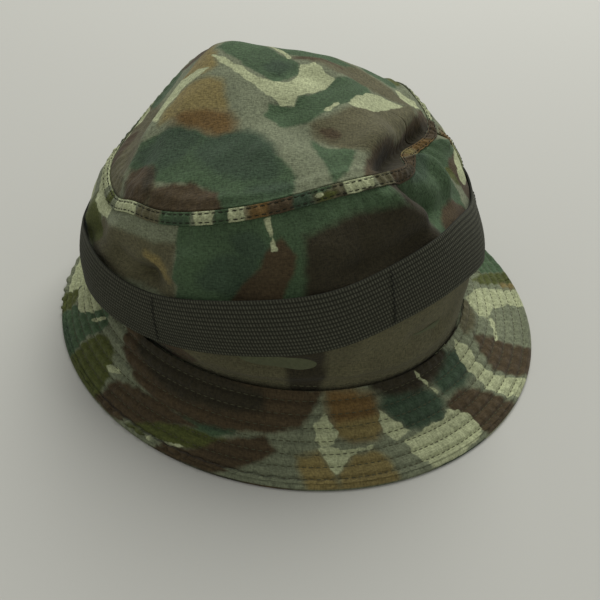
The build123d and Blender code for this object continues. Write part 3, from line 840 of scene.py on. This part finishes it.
def rowLevel(angle):
    return rootLevel(angle, rootSewing["rise"])


sewAround("rootStitch",
          lambda a, s: wallFace(a, rowLevel(a), hat["cloth"] + rootSewing["lift"] + 0 * a),
          lambda a: normals(wallPoint, a, rowLevel(a)), 0.0, rootSewing, spunThread, "root_stitch")


# The brim: two quilted plies with a turned edge.
brimLook = {"rowInset": 6.4, "rowPitch": 6.4, "rows": 7, "puff": 0.95, "groove": 0.3, "grooveWidth": 1.3,
            "gather": 0.34, "gatherPitch": 6.5, "roll": 1.5, "rollShare": 0.07, "edgeHeight": 0.95,
            "sway": 0.35, "swaySize": 60, "rootGap": 0.3, "counts": (420, 110), "underCounts": (300, 60)}
brimSewing = {"thick": 0.45, "pitch": 3.0, "length": 2.1, "radius": 126, "radiusStep": 5.6, "lift": 0.12}
topLift = hat["cloth"] * 2 + hat["interlining"] + 2 * hat["plyGap"]


def brimShift(angle, rise):
    inset, pitch = brimLook["rowInset"], brimLook["rowPitch"]
    out = rise * hat["brimWidth"]
    row = np.clip(np.round((out - inset) / pitch), 0, brimLook["rows"] - 1)
    gap = np.abs(out - inset - row * pitch)
    puff = 1 - np.exp(-(gap / brimLook["grooveWidth"])**2)
    cell = np.floor((out - inset) / pitch)
    wave = np.sin(angle * 2.0 * 2 * math.pi / brimLook["gatherPitch"] + cell * 2.1
                  + 2.5 * np.sin(np.radians(angle * 9 + cell * 50)))
    cells = (brimLook["puff"] * puff + brimLook["gather"] * wave * puff) * np.clip(out / 2.5, 0, 1)
    return cells - brimLook["groove"] * (1 - puff)


def brimTop(angle):
    return 1 - brimLook["rootGap"] / brimSpan(angle)[2]


def brimFace(angle, rise, lift=0.0):
    points = brimPoint(angle, rise)
    sway = brimLook["sway"] * wrinkles(points, brimLook["swaySize"], 21) * np.clip(rise / 0.2, 0, 1)
    shift = topLift + brimShift(angle, rise) + np.maximum(sway, -0.1) + lift
    return raised(brimPoint, angle, rise, shift)


def brimHalf(start, end):
    # the first part of the grid, rollShare, goes round the turned edge
    rollShare, roll, low = brimLook["rollShare"], brimLook["roll"], brimLook["edgeHeight"]

    def surface(u, v):
        angle = start + (end - start) * u
        rise = np.where(v < rollShare, 0.0, (v - rollShare) / (1 - rollShare)) * brimTop(angle)
        points = brimFace(angle, np.maximum(rise, roll / hat["brimWidth"] * 0.6))
        edge = brimPoint(angle, 0 * angle)
        x, y = outward(angle)
        out = rise * hat["brimWidth"]
        # a quarter round from the edge's side up on to the top
        turn = np.clip(out / (roll * 2), 0, 1)
        height = low + (points[..., 2] - low) * np.sin(turn * math.pi / 2)
        pull = roll * 2 * (1 - np.cos(turn * math.pi / 2))
        rolled = stacked(edge[..., 0] - x * pull, edge[..., 1] - y * pull, height)
        points = np.where((out < roll * 2)[..., None], rolled, points)
        below = np.clip(1 - v / rollShare, 0, 1)
        points = points - stacked(x * 1.1 * below, y * 1.1 * below, 0.12 * below)
        return points, angle, rise, "brim"
    return surface


def underHalf(start, end):
    def surface(u, v):
        # from the root out to the edge, so that it faces down
        angle = start + (end - start) * u
        rise = (1 - v) * brimTop(angle)
        points = brimPoint(angle, rise)
        shift = np.minimum(0, 0.5 * (brimLook["groove"] - brimShift(angle, rise)))
        shift = shift * np.clip(points[..., 2] / 2, 0, 1)
        return points + stacked(0 * u, 0 * u, shift), angle, rise, "brim"
    return surface


brimPlies = (("Upper", brimHalf, brimLook["counts"], brimCamo),
             ("Under", underHalf, brimLook["underCounts"], underCamo))
for side, span in wallSpans.items():
    for ply, half, counts, camo in brimPlies:
        piece = clothPiece("brim" + ply + side.title(), half(*span), counts, hat["cloth"], camo)
        wear(piece, brimTwill, "brim_cloth", f"brim_{ply.lower()}_{side}")
    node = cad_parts["brim_interlining_" + side]
    node.data.materials.clear()
    node.data.materials.append(canvas)
for number in range(brimLook["rows"]):
    rise = (brimLook["rowInset"] + number * brimLook["rowPitch"]) / hat["brimWidth"]
    sewing = {**brimSewing, "radius": brimSewing["radius"] - brimSewing["radiusStep"] * number}
    sewAround(f"brimStitch{number + 1}", lambda a, r: brimFace(a, r + 0 * a, brimSewing["lift"]),
              lambda a, r=rise: normals(brimPoint, a, r + 0 * a), rise, sewing, spunThread,
              f"brim_stitch_{number + 1}")
print("brim made")


sweatLook = {"width": 26.0, "thick": 0.9, "gap": 0.15, "ripple": 0.12, "foot": 0.01, "counts": (360, 14)}


def sweatSurface(u, v):
    angle = 90 - 360 * u
    level = sweatLook["foot"] + v * (rootLevel(angle, sweatLook["width"]) - sweatLook["foot"])
    inward = sweatLook["gap"] + sweatLook["thick"] + sweatLook["ripple"] * np.sin(np.radians(angle * 40)) * v
    return raised(wallPoint, angle, level, -inward), angle, level, "wall"


sweat = clothPiece("sweatband", sweatSurface, sweatLook["counts"], sweatLook["thick"], closed=True)
wear(sweat, liningTwill, "lining", "sweatband")


bandLook = {"ribHeight": 0.22, "hangRounding": 3.0, "seamAngle": 31, "mapShare": 0.25, "counts": (660, 70)}
tackLook = {"knots": 15, "ends": (0.06, 0.94), "zigzag": 0.4, "lift": 0.25, "thick": 0.5}


def bandPoint(angle, across):
    height = hat["bandHeight"] + bumps(angle, hat["bandBumps"]) + (across - 0.5) * hat["bandWidth"]
    x, y = outward(angle)
    # low down the band hangs clear of the wall
    rounding = bandLook["hangRounding"]
    reach = rounding * np.logaddexp(height / rounding, hat["bandHang"] / rounding)
    spot = wallPoint(angle, levelAt(angle, reach))
    tacked = (0.5 + 0.5 * np.cos(np.radians(hat["bandTacks"] * (angle - hat["bandTackFirst"]))))**2
    tacked = 1 - (1 - tacked) * (1 - bump(angle, *hat["bandSnug"]))
    loop = sum(bump(angle, place, hat["loopSpread"]) for place in hat["loopAngles"])
    stand = hat["cloth"] + hat["bandClearance"] - (hat["bandClearance"] - hat["bandTacked"]) * tacked
    stand = stand + hat["loopStand"] * loop
    return stacked(spot[..., 0] + x * stand, spot[..., 1] + y * stand, height)


def bandFace(angle, across, lift=0.0):
    x, y = outward(angle)
    rib = bandLook["ribHeight"] * np.abs(np.sin(math.pi * bandWeave["ribs"] * across))**0.6
    out = hat["bandThick"] + rib + lift
    return bandPoint(angle, across) + stacked(x * out, y * out, 0 * out)


def bandSurface(u, v):
    angle = bandLook["seamAngle"] + 360 * u
    return bandFace(angle, v), angle, v * bandLook["mapShare"], "wall"


band = clothPiece("elasticBand", bandSurface, bandLook["counts"], hat["bandThick"], closed=True)
wear(band, elasticWeave, "elastic", "elastic_band")
for number in range(hat["bandTacks"]):
    middle = hat["bandTackFirst"] + number * 360 / hat["bandTacks"]
    across = np.linspace(*tackLook["ends"], tackLook["knots"])
    odd = np.arange(tackLook["knots"]) % 2
    sideways = middle + np.where(odd, tackLook["zigzag"], -tackLook["zigzag"])
    knots = bandFace(sideways, across, tackLook["lift"])
    ups = np.stack([*outward(sideways[1:]), 0 * sideways[1:]], axis=1)
    tack = sewRow(f"bandTack{number + 1}", knots[:-1], knots[1:], ups, tackLook["thick"])
    wear(tack, tackThread, "tack_thread", f"band_tack_{number + 1}")
bpy.data.objects.remove(stitchPattern)
print("elastic band made")


stageLook = {"floor": "#bfbfb6", "floorSize": 8, "floorDrop": 0.0003, "world": 0.40, "key": 47.0,
             "keyPlace": (0.25, 1.45, 2.0), "keySize": 1.7, "aim": (0, 0, 0.06)}
bpy.ops.mesh.primitive_plane_add(size=stageLook["floorSize"], location=(0, 0, -stageLook["floorDrop"]))
floor = bpy.context.object
floor.name = "floor"
floorMaterial = bpy.data.materials.new("paleFloor")
floorMaterial.use_nodes = True
floorShader = floorMaterial.node_tree.nodes["Principled BSDF"]
floorShader.inputs["Base Color"].default_value = linear(stageLook["floor"])
floorShader.inputs["Roughness"].default_value = 0.9
floor.data.materials.append(floorMaterial)


bpy.ops.object.light_add(type="AREA", location=stageLook["keyPlace"])
lamp = bpy.context.object
lamp.name = "keyLight"
lamp.data.size = stageLook["keySize"]
lamp.data.energy = stageLook["key"]
aim = Vector(stageLook["aim"]) - Vector(stageLook["keyPlace"])
lamp.rotation_euler = aim.to_track_quat("-Z", "Y").to_euler()
world = bpy.data.worlds.new("studio")
bpy.context.scene.world = world
world.use_nodes = True
sky = world.node_tree.nodes["Background"].inputs
sky["Color"].default_value = (1, 1, 1, 1)
sky["Strength"].default_value = stageLook["world"]

viewLook = {"elevation": 40.01, "roll": -6.90, "pan": 0.04, "tilt": -0.72, "distance": 0.3813, "lens": 39.0}
elevation = math.radians(viewLook["elevation"])
ahead = Vector((0, math.cos(elevation), -math.sin(elevation)))
right = Vector((1, 0, 0))
up = right.cross(ahead)
spot = -ahead * viewLook["distance"]


def turned(v, axis, degrees):
    return Matrix.Rotation(math.radians(degrees), 3, axis) @ v


ahead, right = turned(ahead, up, viewLook["pan"]), turned(right, up, viewLook["pan"])
ahead, up = turned(ahead, right, viewLook["tilt"]), turned(up, right, viewLook["tilt"])
right, up = turned(right, ahead, viewLook["roll"]), turned(up, ahead, viewLook["roll"])
bpy.ops.object.camera_add()
camera = bpy.context.object
camera.matrix_world = Matrix((right, up, -ahead)).transposed().to_4x4()
camera.location = spot
camera.data.lens = viewLook["lens"]
camera.data.sensor_width = 36.0
camera.data.clip_start = 0.01
bpy.context.scene.camera = camera
bpy.context.scene.view_settings.view_transform = "Standard"

print("scene done")
